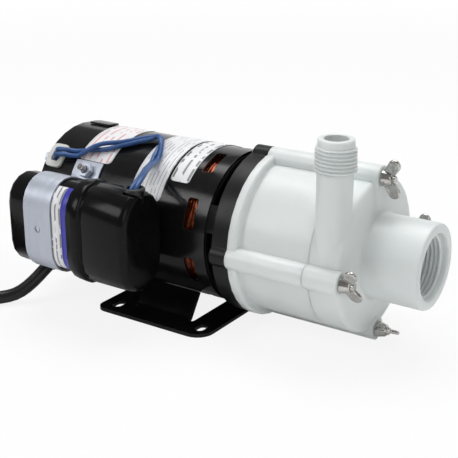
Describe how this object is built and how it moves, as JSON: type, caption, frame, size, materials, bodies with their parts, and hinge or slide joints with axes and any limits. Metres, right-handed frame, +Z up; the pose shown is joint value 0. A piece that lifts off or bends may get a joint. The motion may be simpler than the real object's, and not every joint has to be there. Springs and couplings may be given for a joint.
{
  "type": "magnetic drive pump",
  "caption": "small magnetic drive pump: vented motor on a folded steel base, strapped run capacitor, moulded head with threaded inlet and upright outlet, mains lead",
  "frame": {"origin": "on the mounting face under the base plate, midway between the two front mounting slots", "axes": "+X along the shaft from the motor to the inlet, +Z up, so the run capacitor is on the -Y side"},
  "size_m": [0.3571, 0.1792, 0.1171],
  "materials": {
    "black_paint": "satin black enamel",
    "white_plastic": "moulded natural polypropylene",
    "black_plastic": "moulded, fine sheen",
    "nylon": "natural nylon",
    "zinc": "bright zinc plate",
    "stainless": "polished stainless",
    "lamination": "stacked sheet edges",
    "copper": "enamelled copper wire",
    "ferrite": "ground ferrite",
    "alumina": "ground alumina",
    "carbon": "moulded carbon",
    "rubber": "moulded rubber",
    "blue_wire": "blue insulation",
    "cord_pvc": "black cord jacket",
    "brass": "plated brass"
  },
  "bodies": {
    "pump": {"base_plate": "black_paint", "motor_shell": "black_paint", "rear_end_bell": "black_paint", "front_bracket": "black_paint", "shell_tab": "black_paint", "stator_core": "lamination", "stator_winding": "copper", "rear_bearing": "stainless", "front_bearing": "stainless", "tie_bolt_1": "zinc", "tie_bolt_2": "zinc", "tie_bolt_3": "zinc", "tie_bolt_4": "zinc", "rear_housing": "white_plastic", "volute": "white_plastic", "o_ring": "rubber", "spindle": "alumina", "rear_thrust_washer": "alumina", "front_thrust_washer": "alumina", "housing_stud_1": "stainless", "housing_stud_2": "stainless", "housing_stud_3": "stainless", "housing_stud_4": "stainless", "run_capacitor": "black_plastic", "capacitor_terminal_1": "brass", "capacitor_terminal_2": "brass", "capacitor_boot": "black_plastic", "boot_grommet": "rubber", "capacitor_strap": "zinc", "strap_stud_1": "brass", "strap_stud_2": "brass", "strap_nut_1": "zinc", "strap_nut_2": "zinc", "lead_grommet": "nylon", "capacitor_lead_1": "blue_wire", "capacitor_lead_2": "blue_wire", "strain_relief": "cord_pvc", "power_cord": "cord_pvc", "cord_coil": "cord_pvc", "plug_body": "cord_pvc", "plug_blade_1": "brass", "plug_blade_2": "brass", "plug_ground_pin": "brass"},
    "rotor": {"motor_shaft": "stainless", "rotor_core": "lamination", "cooling_fan": "black_plastic", "drive_cup": "zinc", "drive_magnet": "ferrite"},
    "impeller": {"impeller": "white_plastic", "impeller_bushing": "carbon", "driven_magnet": "ferrite", "magnet_cap": "white_plastic"},
    "nut_1": {"wing_nut_1": "stainless"},
    "nut_2": {"wing_nut_2": "stainless"},
    "nut_3": {"wing_nut_3": "stainless"},
    "nut_4": {"wing_nut_4": "stainless"}
  },
  "joints": [
    {"name": "rotor_spin", "type": "hinge", "parent": "pump", "child": "rotor", "pos_m": [0, 0, 0.05], "axis": [1, 0, 0], "continuous": true},
    {"name": "impeller_spin", "type": "hinge", "parent": "pump", "child": "impeller", "pos_m": [0.05, 0, 0.05], "axis": [1, 0, 0], "continuous": true},
    {"name": "wing_nut_1_turn", "type": "hinge", "parent": "pump", "child": "nut_1", "pos_m": [0.0853, 0.04182, 0.05157], "axis": [1, 0, 0], "continuous": true},
    {"name": "wing_nut_2_turn", "type": "hinge", "parent": "pump", "child": "nut_2", "pos_m": [0.0853, -0.00157, 0.09182], "axis": [1, 0, 0], "continuous": true},
    {"name": "wing_nut_3_turn", "type": "hinge", "parent": "pump", "child": "nut_3", "pos_m": [0.0853, -0.04182, 0.04843], "axis": [1, 0, 0], "continuous": true},
    {"name": "wing_nut_4_turn", "type": "hinge", "parent": "pump", "child": "nut_4", "pos_m": [0.0853, 0.00157, 0.00818], "axis": [1, 0, 0], "continuous": true}
  ],
  "couplings": [
    {"joint": "impeller_spin", "follows": "rotor_spin", "ratio": 1}
  ]
}
